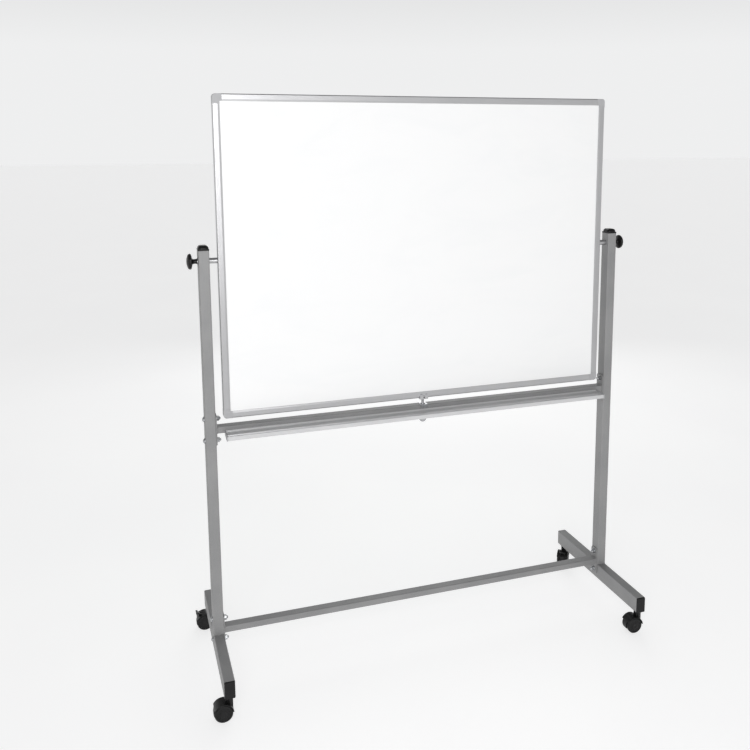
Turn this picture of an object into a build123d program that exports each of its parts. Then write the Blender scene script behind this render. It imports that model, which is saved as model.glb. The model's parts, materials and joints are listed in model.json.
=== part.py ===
from build123d import *

import math
import os

# Rolling reversible whiteboard: a framed, two-sided board that turns between two posts on a wheeled stand.
# Origin: floor level, midway between the posts and midway along the feet.
# +X runs from the left post to the right post, -Y is the side that the white panel faces, +Z is up.
# All sizes are in millimetres.

os.makedirs("parts", exist_ok=True)

SIDES = {"left": -1, "right": 1}
ENDS = (-1, 1)

# ---- Driving dimensions -------------------------------------------------------------------------

# Board
BOARD_WIDTH = 1219.0
BOARD_HEIGHT = 914.0
PIVOT_Z = 1232.0
RAIL_FACE = 20.0
RAIL_DEPTH = 22.0
RAIL_LIP_DEPTH = 20.4
RAIL_BEVEL = 5.0
RAIL_CORNER = 3.0
CHANNEL_START = 7.0
CHAMBER_START, CHAMBER_END = 1.5, 5.5
CHAMBER_DEPTH = 19.0
CORNER_LEG = 26.0
CORNER_RADIUS = 9.0
CORNER_DEPTH, CORNER_CHAMFER = 23.0, 0.8
TONGUE_LENGTH = 18.0
PANEL_INSET = 8.0
SHEET = 0.5
SANDWICH = 18.0

# Stand
POST_X = 648.0
POST_WIDTH, POST_DEPTH = 30.0, 40.0
POST_TOP = 1262.5
FOOT_HEIGHT = 50.0
FOOT_BOTTOM = 68.0
FOOT_LENGTH = 508.0
TUBE_WALL = 1.5
TUBE_CORNER = 3.0
PLUG_THICKNESS, PLUG_TAPER_DEG = 4.0, 15.0
PLUG_TAIL, PLUG_TAIL_WALL = 8.0, 1.5
CAP_HEIGHT = 14.0
CAP_TAIL = 18.0
CAP_RIM, CAP_OVERHANG = 4.0, 0.5
CAP_DOME_CORNER, CAP_DOME_ROUND = 10.0, 9.0
BAR_DEPTH, BAR_HEIGHT = 30.0, 20.0
UPPER_BAR_Z = 744.0
LOWER_BAR_Z = 128.0
FLANGE_THICKNESS = 3.0
FLANGE_DEPTH, FLANGE_HEIGHT = 36.0, 92.0
FLANGE_CORNER = 10.0
BOLT_SPREAD = 32.0
BOLT_RADIUS = 4.0
BOLT_HOLE_RADIUS = 4.3
BOLT_HEAD_RADIUS, BOLT_HEAD_HEIGHT = 8.0, 5.0
WASHER_RADIUS, WASHER_THICKNESS = 9.0, 1.6
NUT_ACROSS_FLATS, NUT_HEX_HEIGHT, NUT_DOME_RADIUS = 13.0, 6.0, 5.2

# Pivot and clamping knobs
STUD_RADIUS = 4.0
RUNNING_GAP = 0.05
BODY_GAP = 0.3
STUD_HEAD_RADIUS, STUD_HEAD_THICKNESS = 8.0, 3.5
STUD_END_X = 684.0
BUSH_RADIUS = 6.0
SPACER_RADIUS, SPACER_CHAMFER = 8.0, 0.8
KNOB_WASHER_RADIUS, KNOB_WASHER_THICKNESS = 9.0, 1.5
KNOB_NECK_RADIUS, KNOB_NECK_FLARE = 7.5, 1.0
KNOB_NECK_END_X = 677.5
KNOB_UNDERSIDE_RADIUS = 17.0
KNOB_OUTER_X = 694.0
KNOB_RADIUS = 22.2
KNOB_RIM_X, KNOB_RIM = 685.0, 5.0
KNOB_DOME_RADIUS, KNOB_DOME_HEIGHT = 20.0, 4.5
KNOB_ROUND = 1.5
KNOB_INSERT_RADIUS, KNOB_INSERT_LENGTH = 5.5, 11.0
KNOB_BORE_END_X = 688.0

# Marker tray: a shelf, a groove for markers and a raised front lip
TRAY_LENGTH = 1212.0
TRAY_WALL = 2.0
TRAY_SHELF_Z = 738.0
TRAY_BACK_TOP = 742.0
TRAY_STEP_Y = -49.0
TRAY_GROOVE_Z = 731.5
TRAY_FRONT_Y = -66.0
TRAY_LIP_TOP = 739.0
TRAY_LIP_BOTTOM = 726.5
TRAY_HOOK_Y = 6.0
TRAY_CAP_THICKNESS = 3.0
TRAY_LIP_ROUND = 0.9
TRAY_CAP_MARGIN, TRAY_CAP_ROUND = 1.0, 2.0
TRAY_SCREW_COUNT = 4
TRAY_SCREW_SPACING = 360.0
TRAY_SCREW_Y = -5.0
TRAY_SCREW_RADIUS, TRAY_SCREW_HEAD_RADIUS, TRAY_SCREW_HEAD_HEIGHT = 2.0, 4.0, 2.2
TRAY_SCREW_LENGTH = 8.0

# Latch at the middle of the upper crossbar
ROD_RADIUS = 4.0
FORK_WIDTH = 27.0
FORK_BASE_TOP = 774.5
FORK_BASE_THICKNESS, FORK_CORNER = 3.0, 2.0
FORK_SLOT = 23.2
PRONG_THICKNESS = 2.5
PRONG_TOP = 787.0
PRONG_WIDTH, PRONG_OFFSET = 12.0, 7.5
BRACKET_WIDTH, BRACKET_THICKNESS = 22.0, 1.5
BRACKET_BACK_Y = 10.0
BRACKET_BOTTOM, BRACKET_ROUND = 743.0, 1.0
BARREL_RADIUS, BARREL_BORE = 7.0, 5.6
BARREL_BOTTOM, BARREL_FLOOR = 721.0, 2.0
BARREL_TOP, BARREL_CHAMFER = 755.0, 1.0
GUIDE_FLANGE_RADIUS, GUIDE_FLANGE_THICKNESS = 8.0, 2.0
GUIDE_DEPTH, GUIDE_ROUND = 6.0, 0.8
COLLAR_RADIUS, COLLAR_THICKNESS = 5.3, 1.5
COLLAR_TOP = 748.5
SPRING_WIRE, SPRING_RADIUS, SPRING_PITCH = 0.5, 4.75, 3.4
PULL_BALL_RADIUS, PULL_BALL_Z = 12.0, 707.5
PULL_BALL_TOP, PULL_BALL_ROUND = 719.0, 0.8
ROD_BOTTOM = 702.0

# Casters
CASTER_Y = 238.0
SOCKET_RADIUS, SOCKET_BORE, SOCKET_LENGTH = 8.0, 5.52, 34.0
SOCKET_FLANGE_RADIUS, SOCKET_FLANGE_THICKNESS = 12.0, 2.0
STEM_UPPER_RADIUS, STEM_LOWER_RADIUS = 5.5, 5.0
STEM_TOP, STEM_BOTTOM, STEM_CHAMFER = 98.0, 40.0, 1.0
STEM_COLLAR_RADIUS, STEM_COLLAR_THICKNESS = 9.0, 2.5
CASTER_TRAIL = 18.0
AXLE_Z = 25.0
WHEEL_RADIUS = 25.0
AXLE_RADIUS = 3.0
AXLE_HALF_LENGTH = 16.5
HOUSING_HALF_WIDTH = 7.5
BOSS_RADIUS, BOSS_WEB_HALF_WIDTH = 9.5, 8.5
BOSS_TOP = 63.2
HOOD_INNER, HOOD_OUTER = 25.8, 28.0
HOOD_HALF_WIDTH = 19.5
HOOD_START_DEG, HOOD_SWEEP_DEG = 28.0, 146.0
HOUSING_BOTTOM = 15.0
WHEEL_INNER, WHEEL_OUTER = 8.0, 19.0
WHEEL_TREAD_CHAMFER = 2.5
WHEEL_TREAD_SAG = 0.3
WHEEL_RECESS_INNER, WHEEL_RECESS_OUTER, WHEEL_RECESS_DEPTH = 9.0, 19.0, 1.6
WHEEL_RECESS_SLOPE, WHEEL_HUB_STEP = 1.0, 0.4
PEDAL_PIVOT_TRAIL, PEDAL_PIVOT_Z = 35.0, 52.0
PEDAL_PIN_RADIUS, PEDAL_HUB_RADIUS = 1.5, 3.0
PEDAL_HUB_HALF_WIDTH, EAR_THICKNESS = 5.7, 2.5
PEDAL_HALF_WIDTH, PEDAL_THICKNESS, PEDAL_REACH, PEDAL_RISE = 11.0, 2.6, 10.5, 4.0
PEDAL_TREAD_START, PEDAL_TREAD_SLOPE = 4.5, 1.0
# Outline of a brake ear, measured from the pedal's pivot
EAR_OUTLINE = ((-11.0, -2.0), (-1.0, 4.0), (3.0, 1.0), (2.0, -9.0))

# Where each caster stands, whether it has a brake, and which way it trails (degrees from +X)
CASTERS = {
    "front_left": (-1, -1, False, 180.0),
    "front_right": (1, -1, False, 180.0),
    "back_left": (-1, 1, True, 180.0),
    "back_right": (1, 1, True, 232.0),
}

# ---- Derived places -----------------------------------------------------------------------------

FOOT_TOP = FOOT_BOTTOM + FOOT_HEIGHT
BOARD_EDGE_X = BOARD_WIDTH / 2
POST_INNER_X = POST_X - POST_WIDTH / 2
POST_OUTER_X = POST_X + POST_WIDTH / 2
BAR_HALF_LENGTH = POST_INNER_X - FLANGE_THICKNESS
BAR_Z = (LOWER_BAR_Z, UPPER_BAR_Z)
BOLT_Z = [bar_z + end * BOLT_SPREAD for bar_z in BAR_Z for end in ENDS]
BAR_TOP = UPPER_BAR_Z + BAR_HEIGHT / 2
BAR_BOTTOM = UPPER_BAR_Z - BAR_HEIGHT / 2
PLUG_INNER_GAP = 0.2
STUD_BORE = STUD_RADIUS + RUNNING_GAP
TRAY_SCREW_X = [(i - (TRAY_SCREW_COUNT - 1) / 2) * TRAY_SCREW_SPACING for i in range(TRAY_SCREW_COUNT)]


def save(piece, label):
    """Name a finished piece and write its STEP file."""
    piece.part.label = label
    export_step(piece.part, f"parts/{label}.step")


def across(x=0.0, outward=1):
    """Plane square to X; its normal points along +X or -X, its sketch Y is always up."""
    return Plane(origin=(x, 0, 0), x_dir=(0, outward, 0), z_dir=(outward, 0, 0))


def cap_middle(radius, height):
    """Halfway point of a spherical cap's arc: distance from the axis, height above the cap's base."""
    sphere = (radius**2 + height**2) / (2 * height)
    angle = math.asin(radius / sphere) / 2
    return sphere * math.sin(angle), sphere * math.cos(angle) - (sphere - height)


# ---- Stand --------------------------------------------------------------------------------------


def make_posts():
    """Rectangular tubes that stand on the feet, drilled for the pivot bush and the crossbar bolts."""
    for side, sign in SIDES.items():
        with BuildPart() as post:
            with BuildSketch(Plane.XY.offset(FOOT_TOP)):
                with Locations((sign * POST_X, 0)):
                    RectangleRounded(POST_WIDTH, POST_DEPTH, TUBE_CORNER)
                    RectangleRounded(
                        POST_WIDTH - 2 * TUBE_WALL,
                        POST_DEPTH - 2 * TUBE_WALL,
                        TUBE_CORNER - TUBE_WALL,
                        mode=Mode.SUBTRACT,
                    )
            extrude(amount=POST_TOP - FOOT_TOP)
            with BuildSketch(across(sign * POST_X)):
                with Locations((0, PIVOT_Z)):
                    Circle(BUSH_RADIUS)
                with Locations(*[(0, z) for z in BOLT_Z if z > FOOT_TOP]):
                    Circle(BOLT_HOLE_RADIUS)
            extrude(amount=POST_WIDTH, both=True, mode=Mode.SUBTRACT)
        save(post, f"post_{side}")


def make_post_caps():
    """Domed plugs in the open tops of the posts."""
    with BuildPart() as caps:
        for sign in SIDES.values():
            with BuildSketch(Plane.XY.offset(POST_TOP)):
                with Locations((sign * POST_X, 0)):
                    RectangleRounded(
                        POST_WIDTH + 2 * CAP_OVERHANG,
                        POST_DEPTH + 2 * CAP_OVERHANG,
                        TUBE_CORNER + CAP_OVERHANG,
                    )
            extrude(amount=CAP_RIM)
            with BuildSketch(Plane.XY.offset(POST_TOP)):
                with Locations((sign * POST_X, 0)):
                    RectangleRounded(POST_WIDTH, POST_DEPTH, CAP_DOME_CORNER)
            extrude(amount=CAP_HEIGHT)
            with BuildSketch(Plane.XY.offset(POST_TOP)):
                with Locations((sign * POST_X, 0)):
                    RectangleRounded(
                        POST_WIDTH - 2 * (TUBE_WALL + PLUG_INNER_GAP),
                        POST_DEPTH - 2 * (TUBE_WALL + PLUG_INNER_GAP),
                        TUBE_CORNER - TUBE_WALL,
                    )
            extrude(amount=-CAP_TAIL)
        fillet(caps.edges().group_by(Axis.Z)[-1], radius=CAP_DOME_ROUND)
    save(caps, "post_caps")


def make_feet():
    """Rectangular tubes along Y under the posts, drilled for the caster sockets and the lowest bolts."""
    for side, sign in SIDES.items():
        with BuildPart() as foot:
            with BuildSketch(Plane.XZ):
                with Locations((sign * POST_X, FOOT_BOTTOM + FOOT_HEIGHT / 2)):
                    RectangleRounded(POST_WIDTH, FOOT_HEIGHT, TUBE_CORNER)
                    RectangleRounded(
                        POST_WIDTH - 2 * TUBE_WALL,
                        FOOT_HEIGHT - 2 * TUBE_WALL,
                        TUBE_CORNER - TUBE_WALL,
                        mode=Mode.SUBTRACT,
                    )
            extrude(amount=FOOT_LENGTH / 2, both=True)
            with BuildSketch(Plane.XY.offset(FOOT_BOTTOM)):
                with Locations(*[(sign * POST_X, end * CASTER_Y) for end in ENDS]):
                    Circle(SOCKET_RADIUS)
            extrude(amount=2 * TUBE_WALL, mode=Mode.SUBTRACT)
            with BuildSketch(across(sign * POST_X)):
                with Locations((0, min(BOLT_Z))):
                    Circle(BOLT_HOLE_RADIUS)
            extrude(amount=POST_WIDTH, both=True, mode=Mode.SUBTRACT)
        save(foot, f"foot_{side}")


def make_foot_plugs():
    """Flat plugs with rounded faces in the ends of the feet; their tails clear the caster sockets."""
    with BuildPart() as plugs:
        for sign in SIDES.values():
            for end in ENDS:
                face = Plane(
                    origin=(sign * POST_X, end * FOOT_LENGTH / 2, FOOT_BOTTOM + FOOT_HEIGHT / 2),
                    x_dir=(1, 0, 0),
                    z_dir=(0, end, 0),
                )
                with BuildSketch(face):
                    RectangleRounded(POST_WIDTH, FOOT_HEIGHT, TUBE_CORNER)
                extrude(amount=PLUG_THICKNESS, taper=PLUG_TAPER_DEG)
                with BuildSketch(face):
                    inset = 2 * (TUBE_WALL + PLUG_INNER_GAP)
                    RectangleRounded(POST_WIDTH - inset, FOOT_HEIGHT - inset, TUBE_CORNER - TUBE_WALL)
                    hollow = inset + 2 * PLUG_TAIL_WALL
                    Rectangle(POST_WIDTH - hollow, FOOT_HEIGHT - hollow, mode=Mode.SUBTRACT)
                extrude(amount=-PLUG_TAIL)
    save(plugs, "foot_end_plugs")


def make_crossbars():
    """Rectangular tubes between the flange plates; the upper one is pierced for latch and tray screws."""
    for name, bar_z in zip(("lower", "upper"), BAR_Z):
        with BuildPart() as bar:
            with BuildSketch(across()):
                with Locations((0, bar_z)):
                    RectangleRounded(BAR_DEPTH, BAR_HEIGHT, TUBE_CORNER)
                    RectangleRounded(
                        BAR_DEPTH - 2 * TUBE_WALL,
                        BAR_HEIGHT - 2 * TUBE_WALL,
                        TUBE_CORNER - TUBE_WALL,
                        mode=Mode.SUBTRACT,
                    )
            extrude(amount=BAR_HALF_LENGTH, both=True)
            if name == "upper":
                with BuildSketch(Plane.XY.offset(bar_z)):
                    Circle(BARREL_RADIUS)
                extrude(amount=BAR_HEIGHT, both=True, mode=Mode.SUBTRACT)
                with BuildSketch(Plane.XY.offset(BAR_BOTTOM)):
                    with Locations(*[(x, TRAY_SCREW_Y) for x in TRAY_SCREW_X]):
                        Circle(TRAY_SCREW_RADIUS)
                extrude(amount=2 * TUBE_WALL, mode=Mode.SUBTRACT)
        save(bar, f"{name}_crossbar")


def make_flanges():
    """Plates welded to the ends of both crossbars, bolted to the inner faces of the posts and feet."""
    with BuildPart() as flanges:
        for sign in SIDES.values():
            for bar_z in BAR_Z:
                with BuildSketch(across(sign * BAR_HALF_LENGTH, sign)):
                    with Locations((0, bar_z)):
                        RectangleRounded(FLANGE_DEPTH, FLANGE_HEIGHT, FLANGE_CORNER)
                        with Locations((0, BOLT_SPREAD), (0, -BOLT_SPREAD)):
                            Circle(BOLT_HOLE_RADIUS, mode=Mode.SUBTRACT)
                extrude(amount=FLANGE_THICKNESS)
    save(flanges, "crossbar_flanges")


def make_bolts():
    """Dome-headed bolts through posts, feet and flange plates, put in from the outer side."""
    bolt_end_x = BAR_HALF_LENGTH - WASHER_THICKNESS - NUT_HEX_HEIGHT
    with BuildPart() as bolts:
        for sign in SIDES.values():
            for z in BOLT_Z:
                head = Plane(
                    origin=(sign * (POST_OUTER_X + WASHER_THICKNESS), 0, z),
                    x_dir=(0, 0, 1),
                    z_dir=(0, -1, 0),
                )
                with BuildSketch(head):
                    with BuildLine():
                        across_cap, along_cap = cap_middle(BOLT_HEAD_RADIUS, BOLT_HEAD_HEIGHT)
                        ThreePointArc(
                            (0, -sign * BOLT_HEAD_HEIGHT),
                            (across_cap, -sign * along_cap),
                            (BOLT_HEAD_RADIUS, 0),
                        )
                        Polyline((BOLT_HEAD_RADIUS, 0), (0, 0), (0, -sign * BOLT_HEAD_HEIGHT))
                    make_face()
                revolve(axis=Axis(head.origin, (1, 0, 0)))
                with BuildSketch(across(sign * bolt_end_x, sign)):
                    with Locations((0, z)):
                        Circle(BOLT_RADIUS)
                extrude(amount=POST_OUTER_X + WASHER_THICKNESS - bolt_end_x)
    save(bolts, "crossbar_bolts")


def make_washers():
    """Washers under the heads and the nuts of the crossbar bolts."""
    with BuildPart() as washers:
        for sign in SIDES.values():
            for x in (POST_OUTER_X, BAR_HALF_LENGTH - WASHER_THICKNESS):
                with BuildSketch(across(sign * x, sign)):
                    with Locations(*[(0, z) for z in BOLT_Z]):
                        Circle(WASHER_RADIUS)
                        Circle(BOLT_HOLE_RADIUS, mode=Mode.SUBTRACT)
                extrude(amount=WASHER_THICKNESS)
    save(washers, "crossbar_washers")


def make_nuts():
    """Acorn nuts on the inner ends of the crossbar bolts."""
    nut_x = BAR_HALF_LENGTH - WASHER_THICKNESS
    with BuildPart() as nuts:
        for sign in SIDES.values():
            with BuildSketch(across(sign * nut_x, -sign)):
                with Locations(*[(0, z) for z in BOLT_Z]):
                    RegularPolygon(NUT_ACROSS_FLATS / 2, 6, major_radius=False)
            extrude(amount=NUT_HEX_HEIGHT)
            with Locations(*[(sign * (nut_x - NUT_HEX_HEIGHT), 0, z) for z in BOLT_Z]):
                Sphere(NUT_DOME_RADIUS)
            with BuildSketch(across(sign * nut_x, -sign)):
                with Locations(*[(0, z) for z in BOLT_Z]):
                    Circle(BOLT_RADIUS + RUNNING_GAP)
            extrude(amount=NUT_HEX_HEIGHT + RUNNING_GAP, mode=Mode.SUBTRACT)
    save(nuts, "crossbar_nuts")


def make_pivot_bushes():
    """Plain bushes through both walls of each post."""
    with BuildPart() as bushes:
        for sign in SIDES.values():
            with BuildSketch(across(sign * POST_INNER_X, sign)):
                with Locations((0, PIVOT_Z)):
                    Circle(BUSH_RADIUS)
                    Circle(STUD_BORE, mode=Mode.SUBTRACT)
            extrude(amount=POST_WIDTH)
    save(bushes, "pivot_bushes")


# ---- Marker tray --------------------------------------------------------------------------------


def tray_outline():
    """The tray's section as (Y, Z) points: hook under the crossbar, shelf, groove, front lip."""
    bar_front = -BAR_DEPTH / 2
    shelf_end = TRAY_STEP_Y
    lip_back = TRAY_FRONT_Y + TRAY_WALL
    return [
        (TRAY_HOOK_Y, BAR_BOTTOM),
        (bar_front, BAR_BOTTOM),
        (bar_front, TRAY_BACK_TOP),
        (bar_front - TRAY_WALL, TRAY_BACK_TOP),
        (bar_front - TRAY_WALL, TRAY_SHELF_Z),
        (shelf_end, TRAY_SHELF_Z),
        (shelf_end - TRAY_WALL, TRAY_GROOVE_Z),
        (lip_back, TRAY_GROOVE_Z),
        (lip_back, TRAY_LIP_TOP),
        (TRAY_FRONT_Y, TRAY_LIP_TOP),
        (TRAY_FRONT_Y, TRAY_LIP_BOTTOM),
        (lip_back, TRAY_LIP_BOTTOM),
        (lip_back, TRAY_GROOVE_Z - TRAY_WALL),
        (shelf_end, TRAY_GROOVE_Z - TRAY_WALL),
        (shelf_end + TRAY_WALL, TRAY_SHELF_Z - TRAY_WALL),
        (bar_front - TRAY_WALL, TRAY_SHELF_Z - TRAY_WALL),
        (bar_front - TRAY_WALL, BAR_BOTTOM - TRAY_WALL),
        (TRAY_HOOK_Y, BAR_BOTTOM - TRAY_WALL),
    ]


def make_tray():
    """Extruded tray below the upper crossbar, its end caps and its screws."""
    with BuildPart() as tray:
        with BuildSketch(across()):
            with BuildLine():
                Polyline(*tray_outline(), close=True)
            make_face()
        extrude(amount=TRAY_LENGTH / 2, both=True)
        lip = tray.edges().filter_by(Axis.X).filter_by_position(Axis.Y, TRAY_FRONT_Y, TRAY_FRONT_Y)
        fillet(lip, radius=TRAY_LIP_ROUND)
        with BuildSketch(Plane.XY.offset(BAR_BOTTOM)):
            Circle(BARREL_RADIUS + BODY_GAP)
            with Locations(*[(x, TRAY_SCREW_Y) for x in TRAY_SCREW_X]):
                Circle(TRAY_SCREW_RADIUS)
        extrude(amount=-2 * TRAY_WALL, mode=Mode.SUBTRACT)
    save(tray, "marker_tray")

    bar_front = -BAR_DEPTH / 2
    with BuildPart() as caps:
        for sign in SIDES.values():
            with BuildSketch(across(sign * TRAY_LENGTH / 2, sign)):
                with BuildLine():
                    outline = [
                        (bar_front, BAR_BOTTOM - TRAY_WALL),
                        (bar_front, TRAY_BACK_TOP),
                        (TRAY_STEP_Y, TRAY_LIP_TOP + TRAY_CAP_MARGIN),
                        (TRAY_FRONT_Y - TRAY_CAP_MARGIN, TRAY_LIP_TOP + TRAY_CAP_MARGIN),
                        (TRAY_FRONT_Y - TRAY_CAP_MARGIN, TRAY_LIP_BOTTOM - TRAY_CAP_MARGIN),
                        (TRAY_STEP_Y - TRAY_WALL, TRAY_LIP_BOTTOM - TRAY_CAP_MARGIN),
                    ]
                    Polyline(*[(sign * y, z) for y, z in outline], close=True)
                make_face()
            extrude(amount=TRAY_CAP_THICKNESS)
        front = caps.edges().filter_by(Axis.X).group_by(Axis.Y)[0]
        fillet(front, radius=TRAY_CAP_ROUND)
    save(caps, "tray_end_caps")

    with BuildPart() as screws:
        head_top = BAR_BOTTOM - TRAY_WALL
        with BuildSketch(Plane.XY.offset(head_top)):
            with Locations(*[(x, TRAY_SCREW_Y) for x in TRAY_SCREW_X]):
                Circle(TRAY_SCREW_HEAD_RADIUS)
        extrude(amount=-TRAY_SCREW_HEAD_HEIGHT)
        with BuildSketch(Plane.XY.offset(head_top)):
            with Locations(*[(x, TRAY_SCREW_Y) for x in TRAY_SCREW_X]):
                Circle(TRAY_SCREW_RADIUS)
        extrude(amount=TRAY_SCREW_LENGTH)
    save(screws, "tray_screws")


# ---- Board latch --------------------------------------------------------------------------------


def make_latch_seat():
    """The fixed side of the latch: angle bracket, spring barrel through the crossbar, guide bush."""
    plate_top = BAR_TOP + BRACKET_THICKNESS
    plate_front = -BAR_DEPTH / 2 - BRACKET_THICKNESS
    with BuildPart() as bracket:
        with BuildSketch(across()):
            with BuildLine():
                Polyline(
                    (BRACKET_BACK_Y, BAR_TOP),
                    (BRACKET_BACK_Y, plate_top),
                    (plate_front, plate_top),
                    (plate_front, BRACKET_BOTTOM),
                    (plate_front + BRACKET_THICKNESS, BRACKET_BOTTOM),
                    (plate_front + BRACKET_THICKNESS, BAR_TOP),
                    close=True,
                )
            make_face()
        extrude(amount=BRACKET_WIDTH / 2, both=True)
        with BuildSketch(Plane.XY.offset(BAR_TOP)):
            Circle(BARREL_RADIUS)
        extrude(amount=BRACKET_THICKNESS, mode=Mode.SUBTRACT)
        outer = bracket.edges().filter_by(Axis.X).filter_by_position(Axis.Y, plate_front, plate_front)
        fillet(outer.group_by(Axis.Z)[-1], radius=BRACKET_ROUND)
    save(bracket, "latch_bracket")

    with BuildPart() as barrel:
        with BuildSketch(Plane.XY.offset(BARREL_BOTTOM)):
            Circle(BARREL_RADIUS)
        extrude(amount=BARREL_TOP - BARREL_BOTTOM)
        with BuildSketch(Plane.XY.offset(BARREL_BOTTOM + BARREL_FLOOR)):
            Circle(BARREL_BORE)
        extrude(amount=BARREL_TOP - BARREL_BOTTOM, mode=Mode.SUBTRACT)
        with BuildSketch(Plane.XY.offset(BARREL_BOTTOM)):
            Circle(ROD_RADIUS + RUNNING_GAP)
        extrude(amount=BARREL_FLOOR, mode=Mode.SUBTRACT)
        chamfer(barrel.edges().group_by(Axis.Z)[0].sort_by(SortBy.LENGTH)[-1], length=BARREL_CHAMFER)
    save(barrel, "latch_barrel")

    with BuildPart() as guide:
        with BuildSketch(Plane.XY.offset(plate_top)):
            Circle(GUIDE_FLANGE_RADIUS)
        extrude(amount=GUIDE_FLANGE_THICKNESS)
        fillet(guide.edges().group_by(Axis.Z)[-1], radius=GUIDE_ROUND)
        with BuildSketch(Plane.XY.offset(plate_top)):
            Circle(BARREL_BORE)
        extrude(amount=-GUIDE_DEPTH)
        with BuildSketch(Plane.XY.offset(plate_top + GUIDE_FLANGE_THICKNESS)):
            Circle(ROD_RADIUS + RUNNING_GAP)
        extrude(amount=-(GUIDE_DEPTH + GUIDE_FLANGE_THICKNESS), mode=Mode.SUBTRACT)
    save(guide, "latch_guide_bush")


def make_latch():
    """The sliding side of the latch: fork around the bottom rail, rod, spring collar, spring, pull knob."""
    base_bottom = FORK_BASE_TOP - FORK_BASE_THICKNESS
    fork_depth = FORK_SLOT + 2 * PRONG_THICKNESS
    with BuildPart() as fork:
        with BuildSketch(Plane.XY.offset(base_bottom)):
            RectangleRounded(FORK_WIDTH, fork_depth, FORK_CORNER)
            Circle(ROD_RADIUS, mode=Mode.SUBTRACT)
        extrude(amount=FORK_BASE_THICKNESS)
        for end in ENDS:
            with BuildSketch(Plane.XZ.offset(-end * (FORK_SLOT + PRONG_THICKNESS) / 2)):
                prong_height = PRONG_TOP - FORK_BASE_TOP
                with Locations((-PRONG_OFFSET, 0), (PRONG_OFFSET, 0)):
                    with Locations((0, PRONG_TOP - PRONG_WIDTH / 2)):
                        Circle(PRONG_WIDTH / 2)
                    straight = prong_height - PRONG_WIDTH / 2
                    with Locations((0, FORK_BASE_TOP + straight / 2)):
                        Rectangle(PRONG_WIDTH, straight)
            extrude(amount=PRONG_THICKNESS / 2, both=True)
    save(fork, "latch_fork")

    with BuildPart() as rod:
        with BuildSketch(Plane.XY.offset(ROD_BOTTOM)):
            Circle(ROD_RADIUS)
        extrude(amount=FORK_BASE_TOP - ROD_BOTTOM)
    save(rod, "latch_rod")

    with BuildPart() as collar:
        with BuildSketch(Plane.XY.offset(COLLAR_TOP - COLLAR_THICKNESS)):
            Circle(COLLAR_RADIUS)
            Circle(ROD_RADIUS, mode=Mode.SUBTRACT)
        extrude(amount=COLLAR_THICKNESS)
    save(collar, "latch_spring_collar")

    spring_bottom = BARREL_BOTTOM + BARREL_FLOOR + SPRING_WIRE + PLUG_INNER_GAP
    spring_top = COLLAR_TOP - COLLAR_THICKNESS - SPRING_WIRE - PLUG_INNER_GAP
    with BuildPart() as spring:
        with BuildLine(Plane.XY.offset(spring_bottom)) as coil:
            Helix(pitch=SPRING_PITCH, height=spring_top - spring_bottom, radius=SPRING_RADIUS)
        with BuildSketch(Plane(origin=coil.line @ 0, z_dir=coil.line % 0)):
            Circle(SPRING_WIRE)
        sweep(is_frenet=True)
    save(spring, "latch_spring")

    with BuildPart() as pull:
        with Locations((0, 0, PULL_BALL_Z)):
            Sphere(PULL_BALL_RADIUS)
        split(bisect_by=Plane.XY.offset(PULL_BALL_TOP), keep=Keep.BOTTOM)
        with BuildSketch(Plane.XY.offset(ROD_BOTTOM)):
            Circle(ROD_RADIUS)
        extrude(amount=PULL_BALL_TOP - ROD_BOTTOM, mode=Mode.SUBTRACT)
        fillet(pull.edges().group_by(Axis.Z)[-1].sort_by(SortBy.LENGTH)[-1], radius=PULL_BALL_ROUND)
    save(pull, "latch_pull_knob")


# ---- Board --------------------------------------------------------------------------------------


def make_rail(label, middle, along, inward, length):
    """One frame extrusion: hollow outer chamber, open channel for the panels, bevelled front and back."""
    with BuildPart() as rail:
        with BuildSketch(Plane(origin=middle, x_dir=inward, z_dir=along)):
            half, lip, channel = RAIL_DEPTH / 2, RAIL_LIP_DEPTH / 2, SANDWICH / 2
            with BuildLine():
                Polyline(
                    (0, -half),
                    (RAIL_FACE - RAIL_BEVEL, -half),
                    (RAIL_FACE, -lip),
                    (RAIL_FACE, -channel),
                    (CHANNEL_START, -channel),
                    (CHANNEL_START, channel),
                    (RAIL_FACE, channel),
                    (RAIL_FACE, lip),
                    (RAIL_FACE - RAIL_BEVEL, half),
                    (0, half),
                    close=True,
                )
            section = make_face()
            fillet(section.vertices().group_by(Axis.X)[0], radius=RAIL_CORNER)
            with Locations(((CHAMBER_START + CHAMBER_END) / 2, 0)):
                Rectangle(CHAMBER_END - CHAMBER_START, CHAMBER_DEPTH, mode=Mode.SUBTRACT)
        extrude(amount=length / 2, both=True)
        if along[2]:
            with BuildSketch(across(middle[0])):
                with Locations((0, PIVOT_Z)):
                    Circle(STUD_BORE)
            extrude(amount=inward[0] * CHAMBER_START, mode=Mode.SUBTRACT)
    save(rail, label)


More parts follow.
